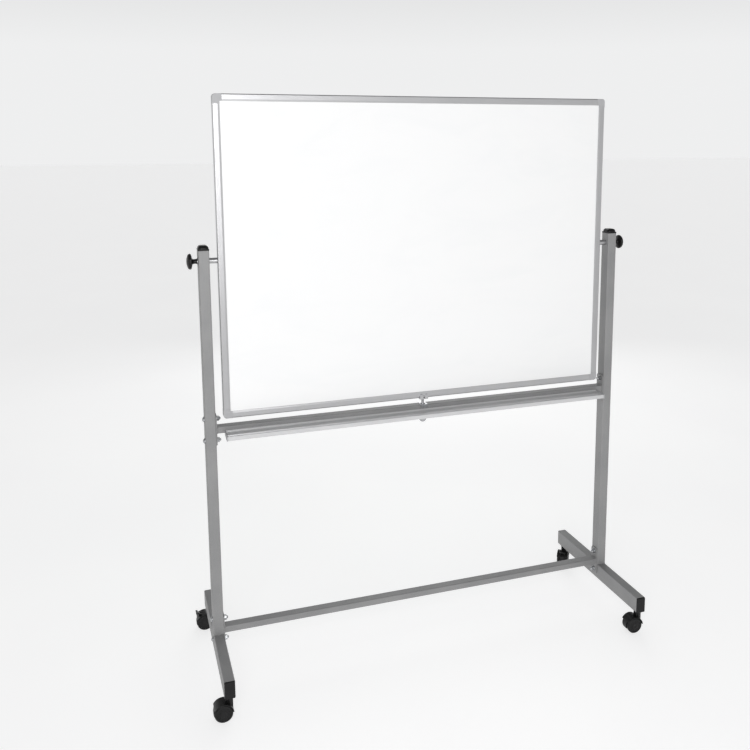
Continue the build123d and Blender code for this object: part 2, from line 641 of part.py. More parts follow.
def make_frame():
    """Four rails and the four plastic corners that join them."""
    half_height = BOARD_HEIGHT / 2
    rail_length = BOARD_WIDTH - 2 * CORNER_LEG
    stile_length = BOARD_HEIGHT - 2 * CORNER_LEG
    for name, sign in (("top", 1), ("bottom", -1)):
        make_rail(f"rail_{name}", (0, 0, PIVOT_Z + sign * half_height), (1, 0, 0), (0, 0, -sign), rail_length)
    for side, sign in SIDES.items():
        make_rail(f"rail_{side}", (sign * BOARD_EDGE_X, 0, PIVOT_Z), (0, 0, 1), (-sign, 0, 0), stile_length)

    tongue = CHAMBER_END - CHAMBER_START - PLUG_INNER_GAP
    tongue_at = (CHAMBER_START + CHAMBER_END) / 2
    with BuildPart() as corners:
        for across_sign in ENDS:
            for up_sign in ENDS:
                corner = (across_sign * BOARD_EDGE_X, PIVOT_Z + up_sign * half_height)
                with BuildSketch(Plane.XZ):
                    with Locations(corner):
                        Rectangle(2 * CORNER_LEG, 2 * CORNER_LEG)
                    with BuildSketch(Plane.XZ, mode=Mode.INTERSECT):
                        with Locations((0, PIVOT_Z)):
                            RectangleRounded(BOARD_WIDTH, BOARD_HEIGHT, CORNER_RADIUS)
                            inner_width = BOARD_WIDTH - 2 * RAIL_FACE
                            inner_height = BOARD_HEIGHT - 2 * RAIL_FACE
                            Rectangle(inner_width, inner_height, mode=Mode.SUBTRACT)
                extrude(amount=CORNER_DEPTH / 2, both=True)
                faces_out = corners.faces().filter_by(Axis.Y)
        chamfer(faces_out.edges().filter_by(GeomType.LINE, reverse=True), length=CORNER_CHAMFER)
        with BuildSketch(Plane.XZ):
            with Locations((0, PIVOT_Z)):
                Rectangle(BOARD_WIDTH - 2 * CHANNEL_START, BOARD_HEIGHT - 2 * CHANNEL_START)
        extrude(amount=SANDWICH / 2, both=True, mode=Mode.SUBTRACT)
        with BuildSketch(Plane.XZ):
            for across_sign in ENDS:
                for up_sign in ENDS:
                    corner_x = across_sign * BOARD_EDGE_X
                    corner_z = PIVOT_Z + up_sign * half_height
                    reach = CORNER_LEG + TONGUE_LENGTH / 2
                    with Locations((corner_x - across_sign * reach, corner_z - up_sign * tongue_at)):
                        Rectangle(TONGUE_LENGTH, tongue)
                    with Locations((corner_x - across_sign * tongue_at, corner_z - up_sign * reach)):
                        Rectangle(tongue, TONGUE_LENGTH)
        extrude(amount=(CHAMBER_DEPTH - PLUG_INNER_GAP) / 2, both=True)
    save(corners, "frame_corners")


def make_panels():
    """White sheet in front, green sheet behind, light core between them."""
    width, height = BOARD_WIDTH - 2 * PANEL_INSET, BOARD_HEIGHT - 2 * PANEL_INSET
    outer, inner = SANDWICH / 2, SANDWICH / 2 - SHEET
    for label, start, end in (
        ("white_panel", -outer, -inner),
        ("panel_core", -inner, inner),
        ("green_panel", inner, outer),
    ):
        with BuildPart() as panel:
            with BuildSketch(Plane.XZ.offset(-start)):
                with Locations((0, PIVOT_Z)):
                    Rectangle(width, height)
            extrude(amount=start - end)
        save(panel, label)


def make_pivots():
    """Studs fixed in the side rails, and the spacers that keep the board off the posts."""
    head_x = BOARD_EDGE_X - CHAMBER_START
    with BuildPart() as studs:
        for sign in SIDES.values():
            with BuildSketch(across(sign * head_x, sign)):
                with Locations((0, PIVOT_Z)):
                    Circle(STUD_RADIUS)
            extrude(amount=STUD_END_X - head_x)
            with BuildSketch(across(sign * head_x, -sign)):
                with Locations((0, PIVOT_Z)):
                    Circle(STUD_HEAD_RADIUS)
            extrude(amount=STUD_HEAD_THICKNESS)
    save(studs, "pivot_studs")

    with BuildPart() as spacers:
        for sign in SIDES.values():
            with BuildSketch(across(sign * BOARD_EDGE_X, sign)):
                with Locations((0, PIVOT_Z)):
                    Circle(SPACER_RADIUS)
                    Circle(STUD_BORE, mode=Mode.SUBTRACT)
            extrude(amount=POST_INNER_X - BODY_GAP - BOARD_EDGE_X)
        ends = spacers.edges().filter_by(GeomType.CIRCLE).filter_by(lambda e: e.radius == SPACER_RADIUS)
        chamfer(ends, length=SPACER_CHAMFER)
    save(spacers, "pivot_spacers")


def make_knobs():
    """Mushroom-shaped clamping knobs on the outer ends of the studs, each with an insert and a washer."""
    washer_x = POST_OUTER_X + BODY_GAP
    neck_x = washer_x + KNOB_WASHER_THICKNESS + BODY_GAP
    for side, sign in SIDES.items():
        with BuildPart() as washer:
            with BuildSketch(across(sign * washer_x, sign)):
                with Locations((0, PIVOT_Z)):
                    Circle(KNOB_WASHER_RADIUS)
                    Circle(STUD_BORE, mode=Mode.SUBTRACT)
            extrude(amount=KNOB_WASHER_THICKNESS)
        save(washer, f"knob_washer_{side}")

        section = Plane(origin=(0, 0, PIVOT_Z), x_dir=(sign, 0, 0), z_dir=(0, -sign, 0))
        insert_end_x = neck_x + KNOB_INSERT_LENGTH
        dome_x = KNOB_OUTER_X - KNOB_DOME_HEIGHT
        dome_across, dome_along = cap_middle(KNOB_DOME_RADIUS, KNOB_DOME_HEIGHT)
        with BuildPart() as knob:
            with BuildSketch(section):
                with BuildLine():
                    Polyline(
                        (KNOB_OUTER_X, 0),
                        (KNOB_BORE_END_X, 0),
                        (KNOB_BORE_END_X, STUD_BORE),
                        (insert_end_x, STUD_BORE),
                        (insert_end_x, KNOB_INSERT_RADIUS),
                        (neck_x, KNOB_INSERT_RADIUS),
                        (neck_x, KNOB_NECK_RADIUS),
                        (KNOB_NECK_END_X, KNOB_NECK_RADIUS + KNOB_NECK_FLARE),
                        (KNOB_NECK_END_X + KNOB_NECK_FLARE, KNOB_UNDERSIDE_RADIUS),
                        (KNOB_RIM_X - KNOB_RIM / 2, KNOB_RADIUS),
                        (KNOB_RIM_X + KNOB_RIM / 2, KNOB_RADIUS),
                        (dome_x, KNOB_DOME_RADIUS),
                    )
                    ThreePointArc(
                        (dome_x, KNOB_DOME_RADIUS),
                        (dome_x + dome_along, dome_across),
                        (KNOB_OUTER_X, 0),
                    )
                head = make_face()
                rim = head.vertices().filter_by_position(Axis.Y, KNOB_NECK_RADIUS * 2, KNOB_RADIUS)
                fillet(rim, radius=KNOB_ROUND)
            revolve(axis=Axis((0, 0, PIVOT_Z), (1, 0, 0)))
        save(knob, f"clamp_knob_{side}")

        with BuildPart() as insert:
            with BuildSketch(across(sign * neck_x, sign)):
                with Locations((0, PIVOT_Z)):
                    Circle(KNOB_INSERT_RADIUS)
                    Circle(STUD_BORE, mode=Mode.SUBTRACT)
            extrude(amount=KNOB_INSERT_LENGTH)
        save(insert, f"knob_insert_{side}")


# ---- Casters ------------------------------------------------------------------------------------


def make_sockets_and_stems():
    """Sockets in the underside of the feet, and the stems that the casters swivel on."""
    places = [(x * POST_X, y * CASTER_Y) for x, y, _, _ in CASTERS.values()]
    flange_bottom = FOOT_BOTTOM - SOCKET_FLANGE_THICKNESS
    with BuildPart() as sockets:
        with BuildSketch(Plane.XY.offset(flange_bottom)):
            with Locations(*places):
                Circle(SOCKET_FLANGE_RADIUS)
        extrude(amount=SOCKET_FLANGE_THICKNESS)
        with BuildSketch(Plane.XY.offset(FOOT_BOTTOM)):
            with Locations(*places):
                Circle(SOCKET_RADIUS)
        extrude(amount=SOCKET_LENGTH)
        with BuildSketch(Plane.XY.offset(flange_bottom)):
            with Locations(*places):
                Circle(SOCKET_BORE)
        extrude(amount=SOCKET_LENGTH + SOCKET_FLANGE_THICKNESS, mode=Mode.SUBTRACT)
    save(sockets, "caster_sockets")

    with BuildPart() as stems:
        for bottom, top, radius in (
            (STEM_BOTTOM, flange_bottom, STEM_LOWER_RADIUS),
            (flange_bottom - STEM_COLLAR_THICKNESS, flange_bottom, STEM_COLLAR_RADIUS),
            (flange_bottom, STEM_TOP, STEM_UPPER_RADIUS),
        ):
            with BuildSketch(Plane.XY.offset(bottom)):
                with Locations(*places):
                    Circle(radius)
            extrude(amount=top - bottom)
        chamfer(stems.edges().group_by(Axis.Z)[-1], length=STEM_CHAMFER)
    save(stems, "caster_stems")


def cut_wheel_room(side_plane):
    """Clear the room of both wheels from the caster housing that is being built."""
    for end in ENDS:
        with BuildSketch(side_plane.offset(end * HOUSING_HALF_WIDTH)) as room:
            with Locations((CASTER_TRAIL, AXLE_Z)):
                Circle(HOOD_INNER)
        extrude(room.sketch, amount=end * HOOD_HALF_WIDTH, mode=Mode.SUBTRACT)


def make_housing(side_plane, stem_plane, braked, label):
    """Caster housing: web between the wheels, boss around the stem, hood over the wheels, brake ears."""
    axle = (CASTER_TRAIL, AXLE_Z)
    with BuildPart() as housing:
        with BuildSketch(side_plane):
            with Locations(axle):
                Circle((HOOD_INNER + HOOD_OUTER) / 2)
            with Locations((CASTER_TRAIL, HOUSING_BOTTOM - HOOD_OUTER)):
                Rectangle(4 * HOOD_OUTER, 2 * HOOD_OUTER, mode=Mode.SUBTRACT)
            with Locations((0, (AXLE_Z + BOSS_TOP) / 2)):
                Rectangle(2 * BOSS_WEB_HALF_WIDTH, BOSS_TOP - AXLE_Z)
        extrude(amount=HOUSING_HALF_WIDTH, both=True)
        with BuildSketch(stem_plane.offset(STEM_BOTTOM)):
            Circle(BOSS_RADIUS)
        extrude(amount=BOSS_TOP - STEM_BOTTOM)
        cut_wheel_room(side_plane)
        with BuildSketch(side_plane):
            with BuildLine():
                inner = CenterArc(axle, HOOD_INNER, HOOD_START_DEG, HOOD_SWEEP_DEG)
                outer = CenterArc(axle, HOOD_OUTER, HOOD_START_DEG, HOOD_SWEEP_DEG)
                Line(inner @ 0, outer @ 0)
                Line(inner @ 1, outer @ 1)
            make_face()
        extrude(amount=HOOD_HALF_WIDTH, both=True)
        if braked:
            ear_middle = PEDAL_HUB_HALF_WIDTH + BODY_GAP + EAR_THICKNESS / 2
            for end in ENDS:
                with BuildSketch(side_plane.offset(end * ear_middle)):
                    with BuildLine():
                        ear = [(PEDAL_PIVOT_TRAIL + trail, PEDAL_PIVOT_Z + z) for trail, z in EAR_OUTLINE]
                        Polyline(*ear, close=True)
                    make_face()
                    with Locations((PEDAL_PIVOT_TRAIL, PEDAL_PIVOT_Z)):
                        Circle(PEDAL_PIN_RADIUS + RUNNING_GAP, mode=Mode.SUBTRACT)
                extrude(amount=EAR_THICKNESS / 2, both=True)
            with BuildSketch(side_plane):
                with Locations((PEDAL_PIVOT_TRAIL, PEDAL_PIVOT_Z)):
                    Circle(PEDAL_HUB_RADIUS + BODY_GAP)
            extrude(amount=PEDAL_HUB_HALF_WIDTH + BODY_GAP, both=True, mode=Mode.SUBTRACT)
            cut_wheel_room(side_plane)
        with BuildSketch(stem_plane.offset(STEM_BOTTOM - BODY_GAP)):
            Circle(STEM_LOWER_RADIUS + RUNNING_GAP)
        extrude(amount=BOSS_TOP, mode=Mode.SUBTRACT)
        with BuildSketch(side_plane):
            with Locations(axle):
                Circle(AXLE_RADIUS)
        extrude(amount=HOUSING_HALF_WIDTH, both=True, mode=Mode.SUBTRACT)
    save(housing, label)


def make_wheel(side_plane, end, label):
    """One wheel of a twin caster: rounded tread, recessed face, blind bore for the axle."""
    axle_point = side_plane.from_local_coords((CASTER_TRAIL, AXLE_Z, 0))
    outward = side_plane.z_dir * end
    section = Plane(origin=axle_point, x_dir=outward, z_dir=outward.cross(Vector(0, 0, 1)))
    tread = WHEEL_RADIUS - WHEEL_TREAD_CHAMFER
    sag = WHEEL_TREAD_SAG * WHEEL_TREAD_CHAMFER
    with BuildPart() as wheel:
        with BuildSketch(section):
            with BuildLine():
                Polyline(
                    (AXLE_HALF_LENGTH + BODY_GAP, 0),
                    (AXLE_HALF_LENGTH + BODY_GAP, AXLE_RADIUS + RUNNING_GAP),
                    (WHEEL_INNER, AXLE_RADIUS + RUNNING_GAP),
                    (WHEEL_INNER, tread),
                    (WHEEL_INNER + WHEEL_TREAD_CHAMFER, WHEEL_RADIUS),
                    (WHEEL_OUTER - WHEEL_TREAD_CHAMFER, WHEEL_RADIUS),
                )
                ThreePointArc(
                    (WHEEL_OUTER - WHEEL_TREAD_CHAMFER, WHEEL_RADIUS),
                    (WHEEL_OUTER - sag, WHEEL_RADIUS - sag),
                    (WHEEL_OUTER, tread),
                )
                Polyline(
                    (WHEEL_OUTER, tread),
                    (WHEEL_OUTER, WHEEL_RECESS_OUTER),
                    (WHEEL_OUTER - WHEEL_RECESS_DEPTH, WHEEL_RECESS_OUTER - WHEEL_RECESS_SLOPE),
                    (WHEEL_OUTER - WHEEL_RECESS_DEPTH, WHEEL_RECESS_INNER + WHEEL_RECESS_SLOPE),
                    (WHEEL_OUTER - WHEEL_HUB_STEP, WHEEL_RECESS_INNER),
                    (WHEEL_OUTER - WHEEL_HUB_STEP, 0),
                    (AXLE_HALF_LENGTH + BODY_GAP, 0),
                )
            make_face()
        revolve(axis=Axis(axle_point, outward))
    save(wheel, label)


def make_pedal(side_plane, label):
    """Brake pedal: hub and pin stubs between the housing's ears, tread plate behind them."""
    pivot = (PEDAL_PIVOT_TRAIL, PEDAL_PIVOT_Z)
    tread_z = PEDAL_PIVOT_Z + PEDAL_RISE
    with BuildPart() as pedal:
        with BuildSketch(side_plane):
            with Locations(pivot):
                Circle(PEDAL_HUB_RADIUS)
            with BuildLine():
                Polyline(
                    (PEDAL_PIVOT_TRAIL, PEDAL_PIVOT_Z + PEDAL_HUB_RADIUS),
                    (PEDAL_PIVOT_TRAIL + PEDAL_REACH, PEDAL_PIVOT_Z + PEDAL_RISE + PEDAL_THICKNESS),
                    (PEDAL_PIVOT_TRAIL + PEDAL_REACH, PEDAL_PIVOT_Z + PEDAL_RISE),
                    (PEDAL_PIVOT_TRAIL + PEDAL_THICKNESS, PEDAL_PIVOT_Z),
                    close=True,
                )
            make_face()
        extrude(amount=PEDAL_HUB_HALF_WIDTH, both=True)
        with BuildSketch(side_plane):
            with BuildLine():
                Polyline(
                    (PEDAL_PIVOT_TRAIL + PEDAL_TREAD_START, tread_z - PEDAL_TREAD_SLOPE),
                    (PEDAL_PIVOT_TRAIL + PEDAL_TREAD_START, tread_z + PEDAL_THICKNESS - PEDAL_TREAD_SLOPE),
                    (PEDAL_PIVOT_TRAIL + PEDAL_REACH, tread_z + PEDAL_THICKNESS),
                    (PEDAL_PIVOT_TRAIL + PEDAL_REACH, tread_z),
                    close=True,
                )
            make_face()
        extrude(amount=PEDAL_HALF_WIDTH, both=True)
        with BuildSketch(side_plane):
            with Locations(pivot):
                Circle(PEDAL_PIN_RADIUS)
        extrude(amount=PEDAL_HUB_HALF_WIDTH + BODY_GAP + EAR_THICKNESS, both=True)
    save(pedal, label)


def make_casters():
    """Four twin-wheel casters; the back two have brake pedals."""
    for place, (x_sign, y_sign, braked, trail_deg) in CASTERS.items():
        origin = (x_sign * POST_X, y_sign * CASTER_Y, 0)
        trail = Vector(math.cos(math.radians(trail_deg)), math.sin(math.radians(trail_deg)), 0)
        side_plane = Plane(origin=origin, x_dir=trail, z_dir=trail.cross(Vector(0, 0, 1)))
        stem_plane = Plane(origin=origin, x_dir=trail, z_dir=(0, 0, 1))
        make_housing(side_plane, stem_plane, braked, f"caster_housing_{place}")
        with BuildPart() as axle:
            with BuildSketch(side_plane):
                with Locations((CASTER_TRAIL, AXLE_Z)):
                    Circle(AXLE_RADIUS)
            extrude(amount=AXLE_HALF_LENGTH, both=True)
        save(axle, f"caster_axle_{place}")
        for letter, end in (("a", -1), ("b", 1)):
            make_wheel(side_plane, end, f"caster_wheel_{place}_{letter}")
        if braked:
            make_pedal(side_plane, f"brake_pedal_{place}")


make_posts()
make_post_caps()
make_feet()
make_foot_plugs()
make_crossbars()
make_flanges()
make_bolts()
make_washers()
make_nuts()
make_pivot_bushes()
make_tray()
make_latch_seat()
make_latch()
make_frame()
make_panels()
make_pivots()
make_knobs()
make_sockets_and_stems()
make_casters()
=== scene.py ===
import json
import math
import random

import bmesh
import bpy
from mathutils import Matrix, Vector


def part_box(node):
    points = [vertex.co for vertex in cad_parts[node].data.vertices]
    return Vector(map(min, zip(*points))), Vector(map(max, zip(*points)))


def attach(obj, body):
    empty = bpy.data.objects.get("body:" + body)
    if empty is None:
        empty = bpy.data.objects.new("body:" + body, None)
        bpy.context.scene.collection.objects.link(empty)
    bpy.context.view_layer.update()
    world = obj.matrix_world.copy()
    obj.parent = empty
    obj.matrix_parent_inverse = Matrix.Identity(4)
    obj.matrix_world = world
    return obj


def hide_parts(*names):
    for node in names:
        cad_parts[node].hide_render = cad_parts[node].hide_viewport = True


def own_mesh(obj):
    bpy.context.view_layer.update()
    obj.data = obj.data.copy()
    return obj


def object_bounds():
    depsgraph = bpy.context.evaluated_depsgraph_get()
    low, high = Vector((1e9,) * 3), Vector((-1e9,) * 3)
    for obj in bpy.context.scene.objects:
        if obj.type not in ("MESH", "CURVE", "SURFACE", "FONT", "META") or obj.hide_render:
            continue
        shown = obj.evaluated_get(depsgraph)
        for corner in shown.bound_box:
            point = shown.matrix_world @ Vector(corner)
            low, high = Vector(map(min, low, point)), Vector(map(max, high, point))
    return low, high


# Looks of a rolling reversible whiteboard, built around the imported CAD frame. Lengths are in metres.

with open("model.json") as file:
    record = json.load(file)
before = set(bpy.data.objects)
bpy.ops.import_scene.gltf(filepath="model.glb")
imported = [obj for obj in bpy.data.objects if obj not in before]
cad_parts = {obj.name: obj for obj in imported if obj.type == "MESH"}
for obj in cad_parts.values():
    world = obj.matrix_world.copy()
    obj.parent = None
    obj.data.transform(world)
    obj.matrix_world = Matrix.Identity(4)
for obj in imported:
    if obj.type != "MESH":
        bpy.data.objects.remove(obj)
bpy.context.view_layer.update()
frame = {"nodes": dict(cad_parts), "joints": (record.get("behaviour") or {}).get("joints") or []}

MM = 0.001
SIDES = {"left": -1, "right": 1}
UP = Vector((0, 0, 1))
TOUCH = 1e-6

# Each section below is a list of rows: share of the outer radius, millimetres added to it, share of the
# piece's length along its axis, millimetres added to that.

# Wheel, from the bore round the grooved tread to the middle of the hub cover
WHEEL_BORE = 3.1
WHEEL_SECTION = [
    (0.0, WHEEL_BORE, 0.0, 0.0),
    (0.60, 0.0, 0.0, 0.0),
    (0.64, 0.0, 0.0, 0.5),
    (0.82, 0.0, 0.0, 0.5),
    (0.86, 0.0, 0.0, 0.0),
    (1.0, -1.8, 0.0, 0.0),
    (1.0, 0.0, 0.0, 1.6),
    (1.0, 0.0, 0.32, 0.0),
    (1.0, -0.5, 0.34, 0.0),
    (1.0, -0.5, 0.37, 0.0),
    (1.0, 0.0, 0.39, 0.0),
    (1.0, 0.0, 0.61, 0.0),
    (1.0, -0.5, 0.63, 0.0),
    (1.0, -0.5, 0.66, 0.0),
    (1.0, 0.0, 0.68, 0.0),
    (1.0, 0.0, 1.0, -2.2),
    (1.0, -2.0, 1.0, -0.2),
    (1.0, -4.2, 1.0, 0.0),
    (1.0, -5.4, 1.0, -0.3),
    (1.0, -6.0, 1.0, -1.5),
    (0.42, 0.0, 1.0, -1.1),
    (0.40, 0.0, 1.0, -0.4),
    (0.30, 0.0, 1.0, -0.1),
    (0.14, 0.0, 1.0, -0.3),
    (0.12, 0.0, 1.0, -0.9),
    (0.0, 0.0, 1.0, -0.9),
]
WHEEL_RIB = [
    (0.43, 0.0, 1.0, -1.6),
    (1.0, -6.2, 1.0, -1.8),
    (1.0, -6.2, 1.0, -0.9),
    (0.43, 0.0, 1.0, -0.6),
]
WHEEL_RIB_COUNT, WHEEL_RIB_HALF_WIDTH = 12, 0.55 * MM
WHEEL_ROUND, WHEEL_STEPS = 0.5 * MM, 96

# Knob, from its bore over the neck, skirt and rim to the middle of the ringed dome
KNOB_BORE = 5.6
KNOB_SECTION = [
    (0.0, KNOB_BORE, 0.0, 0.0),
    (0.0, 7.4, 0.0, 0.0),
    (0.0, 7.5, 0.0, 1.2),
    (0.0, 6.6, 0.0, 4.0),
    (0.0, 6.7, 0.0, 9.5),
    (0.0, 8.6, 0.0, 12.6),
    (0.0, 15.0, 0.0, 14.2),
    (1.0, -1.2, 0.0, 15.8),
    (1.0, 0.0, 0.0, 17.6),
    (1.0, 0.0, 1.0, -8.8),
    (1.0, -1.0, 1.0, -6.2),
    (1.0, -3.2, 1.0, -4.0),
    (0.0, 13.6, 1.0, -2.0),
    (0.0, 13.1, 1.0, -2.3),
    (0.0, 12.6, 1.0, -1.8),
    (0.0, 7.0, 1.0, -0.4),
    (0.0, 0.0, 1.0, 0.0),
]
KNOB_FLUTES, KNOB_FLUTE_DEPTH, KNOB_FLUTE_START = 16, 0.45 * MM, 14.0 * MM
KNOB_ROUND, KNOB_STEPS = 1.1 * MM, 192

# Latch spring: wire radius, all turns, turns closed at each end, rise of a closed turn in wire radii
SPRING_WIRE = 0.5 * MM
SPRING_TURNS, SPRING_CLOSED, SPRING_CLOSED_RISE = 5.5, 1.0, 2.1
SPRING_STEPS, SPRING_SIDES = 200, 10

# Weld beads: the section's rows are degrees round the bead and the share of its size reached there
WELD_SIZE, WELD_STEP = 2.0 * MM, 0.9 * MM
WELD_SECTION = [(-25, 1.0), (10, 1.0), (45, 1.0), (80, 1.0), (115, 1.0), (225, 0.55)]
WELD_RIPPLE, WELD_RIPPLE_TURN, WELD_UNEVENNESS = 0.10, 2.1, 0.07
WELD_INSET, WELD_CORNER = 0.6 * MM, 2.6 * MM
POST_WELD_ENDS, POST_WELD_DEPTH = 3 * MM, (0.2 * MM, 1.2 * MM)

# Camera, floor and light
CAMERA_PLACE = (-0.8802, -2.4207, 1.5606)
CAMERA_YAW, CAMERA_PITCH, CAMERA_ROLL = 0.3340, 0.1551, -0.0028
CAMERA_SENSOR, CAMERA_LENS = 36.0, 41.208
CAMERA_SHIFT = (-0.046667, -0.133333)
CAMERA_REACH = (0.05, 200.0)
FLOOR_HALF_SIDE, FLOOR_GLOW = 60.0, 0.66
SKY_AT_HORIZON, SKY_OVERHEAD = (0.86, 0.863, 0.866, 1.0), (0.20, 0.202, 0.205, 1.0)
SKY_FADE = (0.10, 0.60)
LIGHT_TARGET = (0.0, 0.0, 0.9)

# ---- Node helpers -------------------------------------------------------------------------------


class Finish:
    """A Principled material under construction: its nodes, links and object coordinates."""

    def __init__(self, name, **sockets):
        self.material = bpy.data.materials.new(name)
        self.material.use_nodes = True
        self.nodes = self.material.node_tree.nodes
        self.links = self.material.node_tree.links
        self.shader = self.nodes["Principled BSDF"]
        for socket, value in sockets.items():
            self.shader.inputs[socket.replace("_", " ")].default_value = value
        self.place = self.nodes.new("ShaderNodeTexCoord").outputs["Object"]
        self.normal = None

    def stretched(self, scale):
        """Object coordinates scaled by a vector, for grain that runs one way."""
        mapping = self.nodes.new("ShaderNodeMapping")
        mapping.inputs["Scale"].default_value = scale
        self.links.new(self.place, mapping.inputs["Vector"])
        return mapping.outputs["Vector"]

    def noise(self, scale, detail=3.0, roughness=0.5, distortion=0.0, vector=None):
        """Noise from 0 to 1 with `scale` cells per metre."""
        node = self.nodes.new("ShaderNodeTexNoise")
        node.inputs["Scale"].default_value = scale
        node.inputs["Detail"].default_value = detail
        node.inputs["Roughness"].default_value = roughness
        node.inputs["Distortion"].default_value = distortion
        self.links.new(vector or self.place, node.inputs["Vector"])
        return node.outputs["Fac"]

    def cells(self, scale, feature="F1"):
        """Voronoi distance with `scale` cells per metre."""
        node = self.nodes.new("ShaderNodeTexVoronoi")
        node.feature = feature
        node.inputs["Scale"].default_value = scale
        self.links.new(self.place, node.inputs["Vector"])
        return node.outputs["Distance"]

    def spread(self, value, start, end, low=0.0, high=1.0):
        """Maps a value from start..end to low..high, smoothly."""
        node = self.nodes.new("ShaderNodeMapRange")
        node.interpolation_type = "SMOOTHSTEP"
        node.inputs["From Min"].default_value = start
        node.inputs["From Max"].default_value = end
        node.inputs["To Min"].default_value = low
        node.inputs["To Max"].default_value = high
        self.links.new(value, node.inputs["Value"])
        return node.outputs["Result"]

    def blend(self, factor, first, second):
        """Colour between two colours by a factor."""
        node = self.nodes.new("ShaderNodeMix")
        node.data_type = "RGBA"
        self.links.new(factor, node.inputs["Factor"])
        for socket, colour in zip(("A", "B"), (first, second)):
            target = [s for s in node.inputs if s.name == socket and s.type == "RGBA"][0]
            if isinstance(colour, tuple):
                target.default_value = (*colour, 1.0)
            else:
                self.links.new(colour, target)
        return [s for s in node.outputs if s.type == "RGBA"][0]

    def colour(self, value):
        self.links.new(value, self.shader.inputs["Base Color"])

    def roughness(self, value, between):
        """Roughness that a value carries between a low and a high limit."""
        low, high = between
        varied = self.spread(value, start=0.3, end=0.7, low=low, high=high)
        self.links.new(varied, self.shader.inputs["Roughness"])

    def bump(self, height, distance):
        """Stacks one more layer of surface relief, `distance` metres deep."""
        node = self.nodes.new("ShaderNodeBump")
        node.inputs["Distance"].default_value = distance
        self.links.new(height, node.inputs["Height"])
        if self.normal is not None:
            self.links.new(self.normal, node.inputs["Normal"])
        self.normal = node.outputs["Normal"]
        self.links.new(self.normal, self.shader.inputs["Normal"])

    def rounded(self, radius):
        """Softens hard edges in the shading, as a real edge break does."""
        node = self.nodes.new("ShaderNodeBevel")
        node.samples = 4
        node.inputs["Radius"].default_value = radius
        self.normal = node.outputs["Normal"]
        self.links.new(self.normal, self.shader.inputs["Normal"])


# ---- Materials ----------------------------------------------------------------------------------


def grey_powder_coat():
    """Silver-grey powder coat: fine orange peel, faint metallic flake and slight mottling."""
    f = Finish("grey_powder_coat", Metallic=0.15, Specular_IOR_Level=0.28)
    f.rounded(0.7 * MM)
    mottle = f.spread(f.noise(scale=9.0, detail=4.0), start=0.35, end=0.65)
    fleck = f.noise(scale=2600.0, detail=2.0, roughness=0.7)
    base = f.blend(mottle, (0.262, 0.262, 0.264), (0.292, 0.291, 0.292))
    flakes = f.spread(fleck, start=0.52, end=0.70, high=0.55)
    f.colour(f.blend(flakes, base, (0.44, 0.44, 0.44)))
    f.roughness(f.noise(scale=320.0), between=(0.46, 0.58))
    f.bump(f.noise(scale=750.0, roughness=0.6), distance=0.05 * MM)
    return f.material


def brushed_metal(name, colour, along, grain=0.02 * MM, metallic=0.9):
    """Extruded aluminium: hairlines and die lines along the extrusion, a soft satin sheen."""
    f = Finish(name, Metallic=metallic, Anisotropic=0.35)
    f.rounded(0.5 * MM)
    lines = {"x": (0.012, 1.0, 1.0), "z": (1.0, 1.0, 0.012)}[along]
    hair = f.noise(scale=2400.0, detail=2.0, roughness=0.7, vector=f.stretched(lines))
    die = f.noise(scale=420.0, detail=2.0, vector=f.stretched(lines))
    cloud = f.spread(f.noise(scale=7.0), start=0.35, end=0.65)
    dark = tuple(0.90 * c for c in colour)
    bright = tuple(min(1.0, 1.05 * c) for c in colour)
    base = f.blend(cloud, colour, bright)
    f.colour(f.blend(f.spread(hair, start=0.35, end=0.75), base, dark))
    f.roughness(hair, between=(0.28, 0.42))
    f.bump(die, distance=grain)
    f.bump(hair, distance=0.4 * grain)
    return f.material


def moulded_plastic(name, colour, roughness, grain, streak=1.35, specular=0.5):
    """Injection-moulded plastic: fine spark-eroded grain, flow variation and slight edge polish."""
    f = Finish(name, Specular_IOR_Level=specular)
    f.rounded(0.5 * MM)
    flow = f.noise(scale=45.0, distortion=0.6)
    lift = tuple(streak * c for c in colour)
    f.colour(f.blend(f.spread(flow, start=0.35, end=0.7), colour, lift))
    f.roughness(f.noise(scale=160.0, detail=4.0), between=roughness)
    f.bump(f.cells(scale=2100.0), distance=grain)
    f.bump(f.noise(scale=900.0, detail=2.0), distance=0.6 * grain)
    return f.material


def writing_enamel(name, colour, wiped, roughness, coat, specular):
    """Glazed steel: smooth face with a trace of orange peel and arcs left by the eraser."""
    f = Finish(name, Coat_Weight=coat, Coat_Roughness=0.05, Specular_IOR_Level=specular)
    across, up = f.stretched((1.0, 1.0, 2.6)), f.stretched((0.5, 1.0, 1.6))
    sweep = f.noise(scale=2.6, detail=4.0, roughness=0.6, distortion=1.2, vector=across)
    haze = f.noise(scale=14.0, detail=5.0, roughness=0.65, vector=up)
    f.colour(f.blend(f.spread(sweep, start=0.42, end=0.68), colour, wiped))
    f.roughness(haze, between=roughness)
    f.bump(f.noise(scale=140.0, detail=2.0), distance=0.012 * MM)
    return f.material


def plated_steel(name, colour, tint, roughness):
    """Plated steel: bright metal with patches of passivation tint and fine tool marks."""
    f = Finish(name, Metallic=1.0)
    f.rounded(0.4 * MM)
    patches = f.noise(scale=160.0, distortion=0.8)
    f.colour(f.blend(f.spread(patches, start=0.35, end=0.7), colour, tint))
    f.roughness(f.noise(scale=420.0), between=roughness)
    f.bump(f.noise(scale=1500.0, detail=2.0), distance=0.01 * MM)
    return f.material


def kraft_core():
    """Brown honeycomb board."""
    f = Finish("kraft_core", Roughness=0.9)
    fibre = f.noise(scale=700.0, detail=4.0, roughness=0.7)
    f.colour(f.blend(fibre, (0.34, 0.22, 0.12), (0.46, 0.32, 0.19)))
    f.bump(f.cells(scale=120.0, feature="DISTANCE_TO_EDGE"), distance=0.4 * MM)
    return f.material


